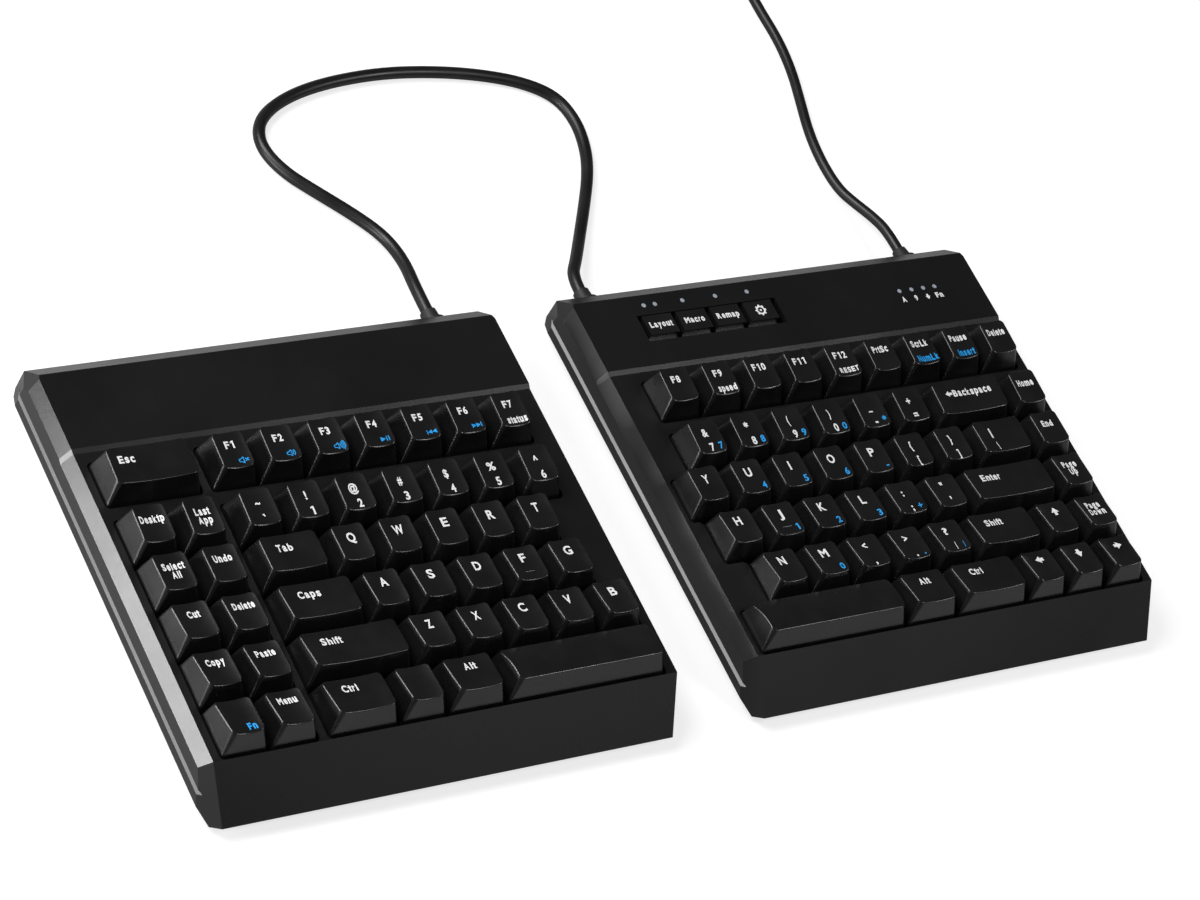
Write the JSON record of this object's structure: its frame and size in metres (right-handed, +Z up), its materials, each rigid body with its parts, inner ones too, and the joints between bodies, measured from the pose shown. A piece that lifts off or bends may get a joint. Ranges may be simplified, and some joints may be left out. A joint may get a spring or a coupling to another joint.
{
  "type": "split computer keyboard",
  "caption": "Ergonomic split keyboard: two low black modules with sculpted keys, joined by a short cable, with a USB cable, hot keys and program buttons.",
  "frame": {"origin": "on the desk under the middle of the two modules", "axes": "+X along the key rows to the right, +Y to the rear, +Z up"},
  "size_m": [0.4142, 0.4468, 0.0299],
  "materials": {
    "case_plastic": "fine textured matte black",
    "keycap_plastic": "fine textured matte black",
    "button_plastic": "matte black",
    "switch_plate": "black painted sheet",
    "circuit_board": "green solder resist",
    "switch_housing": "smooth dark moulding",
    "stabiliser": "smooth dark moulding",
    "screw_steel": "zinc plated",
    "indicator_lens": "milky light pipe",
    "foot_rubber": "soft matte",
    "gland_rubber": "soft matte",
    "cable_sheath": "glossy black sheath",
    "plug_moulding": "satin black",
    "plug_metal": "bright nickel"
  },
  "bodies": {
    "case": {"left_top_cover": "case_plastic", "left_base": "case_plastic", "right_top_cover": "case_plastic", "right_base": "case_plastic", "left_switch_plate": "switch_plate", "right_switch_plate": "switch_plate", "left_circuit_board": "circuit_board", "right_circuit_board": "circuit_board", "left_switch_housings": "switch_housing", "right_switch_housings": "switch_housing", "left_stabilisers": "stabiliser", "right_stabilisers": "stabiliser", "left_screws": "screw_steel", "right_screws": "screw_steel", "indicator_lenses": "indicator_lens", "left_feet": "foot_rubber", "right_feet": "foot_rubber", "left_bridge_gland": "gland_rubber", "right_bridge_gland": "gland_rubber", "usb_gland": "gland_rubber", "bridge_cable": "cable_sheath", "usb_cable": "cable_sheath", "usb_cable_coil": "cable_sheath", "usb_plug_body": "plug_moulding", "usb_plug_shell": "plug_metal"},
    "esc_key_body": {"esc_key": "keycap_plastic"},
    "left_function_keys_body": {"left_function_keys": "keycap_plastic"},
    "outer_hot_keys_body": {"outer_hot_keys": "keycap_plastic"},
    "inner_hot_keys_body": {"inner_hot_keys": "keycap_plastic"},
    "left_number_keys_body": {"left_number_keys": "keycap_plastic"},
    "tab_key_body": {"tab_key": "keycap_plastic"},
    "left_upper_letter_keys_body": {"left_upper_letter_keys": "keycap_plastic"},
    "caps_lock_key_body": {"caps_lock_key": "keycap_plastic"},
    "left_home_letter_keys_body": {"left_home_letter_keys": "keycap_plastic"},
    "left_shift_key_body": {"left_shift_key": "keycap_plastic"},
    "left_lower_letter_keys_body": {"left_lower_letter_keys": "keycap_plastic"},
    "left_control_key_body": {"left_control_key": "keycap_plastic"},
    "super_key_body": {"super_key": "keycap_plastic"},
    "left_alt_key_body": {"left_alt_key": "keycap_plastic"},
    "left_space_key_body": {"left_space_key": "keycap_plastic"},
    "right_function_keys_body": {"right_function_keys": "keycap_plastic"},
    "system_keys_body": {"system_keys": "keycap_plastic"},
    "right_number_keys_body": {"right_number_keys": "keycap_plastic"},
    "backspace_key_body": {"backspace_key": "keycap_plastic"},
    "right_upper_letter_keys_body": {"right_upper_letter_keys": "keycap_plastic"},
    "backslash_key_body": {"backslash_key": "keycap_plastic"},
    "right_home_letter_keys_body": {"right_home_letter_keys": "keycap_plastic"},
    "enter_key_body": {"enter_key": "keycap_plastic"},
    "right_lower_letter_keys_body": {"right_lower_letter_keys": "keycap_plastic"},
    "right_shift_key_body": {"right_shift_key": "keycap_plastic"},
    "up_arrow_key_body": {"up_arrow_key": "keycap_plastic"},
    "navigation_keys_body": {"navigation_keys": "keycap_plastic"},
    "right_space_key_body": {"right_space_key": "keycap_plastic"},
    "right_alt_key_body": {"right_alt_key": "keycap_plastic"},
    "right_control_key_body": {"right_control_key": "keycap_plastic"},
    "lower_arrow_keys_body": {"lower_arrow_keys": "keycap_plastic"},
    "layout_button_body": {"layout_button": "button_plastic"},
    "macro_button_body": {"macro_button": "button_plastic"},
    "remap_button_body": {"remap_button": "button_plastic"},
    "settings_button_body": {"settings_button": "button_plastic"}
  },
  "joints": [
    {"name": "esc_key_press", "type": "slide", "parent": "case", "child": "esc_key_body", "axis": [0, 0, -1], "range_m": [0, 0.004], "stiffness_N_per_m": 130, "springref_m": -0.0023},
    {"name": "left_function_keys_press", "type": "slide", "parent": "case", "child": "left_function_keys_body", "axis": [0, 0, -1], "range_m": [0, 0.004], "stiffness_N_per_m": 910, "springref_m": -0.0023},
    {"name": "outer_hot_keys_press", "type": "slide", "parent": "case", "child": "outer_hot_keys_body", "axis": [0, 0, -1], "range_m": [0, 0.004], "stiffness_N_per_m": 650, "springref_m": -0.0023},
    {"name": "inner_hot_keys_press", "type": "slide", "parent": "case", "child": "inner_hot_keys_body", "axis": [0, 0, -1], "range_m": [0, 0.004], "stiffness_N_per_m": 650, "springref_m": -0.0023},
    {"name": "left_number_keys_press", "type": "slide", "parent": "case", "child": "left_number_keys_body", "axis": [0, 0, -1], "range_m": [0, 0.004], "stiffness_N_per_m": 910, "springref_m": -0.0023},
    {"name": "tab_key_press", "type": "slide", "parent": "case", "child": "tab_key_body", "axis": [0, 0, -1], "range_m": [0, 0.004], "stiffness_N_per_m": 130, "springref_m": -0.0023},
    {"name": "left_upper_letter_keys_press", "type": "slide", "parent": "case", "child": "left_upper_letter_keys_body", "axis": [0, 0, -1], "range_m": [0, 0.004], "stiffness_N_per_m": 650, "springref_m": -0.0023},
    {"name": "caps_lock_key_press", "type": "slide", "parent": "case", "child": "caps_lock_key_body", "axis": [0, 0, -1], "range_m": [0, 0.004], "stiffness_N_per_m": 130, "springref_m": -0.0023},
    {"name": "left_home_letter_keys_press", "type": "slide", "parent": "case", "child": "left_home_letter_keys_body", "axis": [0, 0, -1], "range_m": [0, 0.004], "stiffness_N_per_m": 650, "springref_m": -0.0023},
    {"name": "left_shift_key_press", "type": "slide", "parent": "case", "child": "left_shift_key_body", "axis": [0, 0, -1], "range_m": [0, 0.004], "stiffness_N_per_m": 130, "springref_m": -0.0023},
    {"name": "left_lower_letter_keys_press", "type": "slide", "parent": "case", "child": "left_lower_letter_keys_body", "axis": [0, 0, -1], "range_m": [0, 0.004], "stiffness_N_per_m": 650, "springref_m": -0.0023},
    {"name": "left_control_key_press", "type": "slide", "parent": "case", "child": "left_control_key_body", "axis": [0, 0, -1], "range_m": [0, 0.004], "stiffness_N_per_m": 130, "springref_m": -0.0023},
    {"name": "super_key_press", "type": "slide", "parent": "case", "child": "super_key_body", "axis": [0, 0, -1], "range_m": [0, 0.004], "stiffness_N_per_m": 130, "springref_m": -0.0023},
    {"name": "left_alt_key_press", "type": "slide", "parent": "case", "child": "left_alt_key_body", "axis": [0, 0, -1], "range_m": [0, 0.004], "stiffness_N_per_m": 130, "springref_m": -0.0023},
    {"name": "left_space_key_press", "type": "slide", "parent": "case", "child": "left_space_key_body", "axis": [0, 0, -1], "range_m": [0, 0.004], "stiffness_N_per_m": 130, "springref_m": -0.0023},
    {"name": "right_function_keys_press", "type": "slide", "parent": "case", "child": "right_function_keys_body", "axis": [0, 0, -1], "range_m": [0, 0.004], "stiffness_N_per_m": 650, "springref_m": -0.0023},
    {"name": "system_keys_press", "type": "slide", "parent": "case", "child": "system_keys_body", "axis": [0, 0, -1], "range_m": [0, 0.004], "stiffness_N_per_m": 520, "springref_m": -0.0023},
    {"name": "right_number_keys_press", "type": "slide", "parent": "case", "child": "right_number_keys_body", "axis": [0, 0, -1], "range_m": [0, 0.004], "stiffness_N_per_m": 780, "springref_m": -0.0023},
    {"name": "backspace_key_press", "type": "slide", "parent": "case", "child": "backspace_key_body", "axis": [0, 0, -1], "range_m": [0, 0.004], "stiffness_N_per_m": 130, "springref_m": -0.0023},
    {"name": "right_upper_letter_keys_press", "type": "slide", "parent": "case", "child": "right_upper_letter_keys_body", "axis": [0, 0, -1], "range_m": [0, 0.004], "stiffness_N_per_m": 910, "springref_m": -0.0023},
    {"name": "backslash_key_press", "type": "slide", "parent": "case", "child": "backslash_key_body", "axis": [0, 0, -1], "range_m": [0, 0.004], "stiffness_N_per_m": 130, "springref_m": -0.0023},
    {"name": "right_home_letter_keys_press", "type": "slide", "parent": "case", "child": "right_home_letter_keys_body", "axis": [0, 0, -1], "range_m": [0, 0.004], "stiffness_N_per_m": 780, "springref_m": -0.0023},
    {"name": "enter_key_press", "type": "slide", "parent": "case", "child": "enter_key_body", "axis": [0, 0, -1], "range_m": [0, 0.004], "stiffness_N_per_m": 130, "springref_m": -0.0023},
    {"name": "right_lower_letter_keys_press", "type": "slide", "parent": "case", "child": "right_lower_letter_keys_body", "axis": [0, 0, -1], "range_m": [0, 0.004], "stiffness_N_per_m": 650, "springref_m": -0.0023},
    {"name": "right_shift_key_press", "type": "slide", "parent": "case", "child": "right_shift_key_body", "axis": [0, 0, -1], "range_m": [0, 0.004], "stiffness_N_per_m": 130, "springref_m": -0.0023},
    {"name": "up_arrow_key_press", "type": "slide", "parent": "case", "child": "up_arrow_key_body", "axis": [0, 0, -1], "range_m": [0, 0.004], "stiffness_N_per_m": 130, "springref_m": -0.0023},
    {"name": "navigation_keys_press", "type": "slide", "parent": "case", "child": "navigation_keys_body", "axis": [0, 0, -1], "range_m": [0, 0.004], "stiffness_N_per_m": 520, "springref_m": -0.0023},
    {"name": "right_space_key_press", "type": "slide", "parent": "case", "child": "right_space_key_body", "axis": [0, 0, -1], "range_m": [0, 0.004], "stiffness_N_per_m": 130, "springref_m": -0.0023},
    {"name": "right_alt_key_press", "type": "slide", "parent": "case", "child": "right_alt_key_body", "axis": [0, 0, -1], "range_m": [0, 0.004], "stiffness_N_per_m": 130, "springref_m": -0.0023},
    {"name": "right_control_key_press", "type": "slide", "parent": "case", "child": "right_control_key_body", "axis": [0, 0, -1], "range_m": [0, 0.004], "stiffness_N_per_m": 130, "springref_m": -0.0023},
    {"name": "lower_arrow_keys_press", "type": "slide", "parent": "case", "child": "lower_arrow_keys_body", "axis": [0, 0, -1], "range_m": [0, 0.004], "stiffness_N_per_m": 390, "springref_m": -0.0023},
    {"name": "layout_button_press", "type": "slide", "parent": "case", "child": "layout_button_body", "axis": [0, 0, -1], "range_m": [0, 0.0005], "stiffness_N_per_m": 1500, "springref_m": -0.0004},
    {"name": "macro_button_press", "type": "slide", "parent": "case", "child": "macro_button_body", "axis": [0, 0, -1], "range_m": [0, 0.0005], "stiffness_N_per_m": 1500, "springref_m": -0.0004},
    {"name": "remap_button_press", "type": "slide", "parent": "case", "child": "remap_button_body", "axis": [0, 0, -1], "range_m": [0, 0.0005], "stiffness_N_per_m": 1500, "springref_m": -0.0004},
    {"name": "settings_button_press", "type": "slide", "parent": "case", "child": "settings_button_body", "axis": [0, 0, -1], "range_m": [0, 0.0005], "stiffness_N_per_m": 1500, "springref_m": -0.0004}
  ]
}
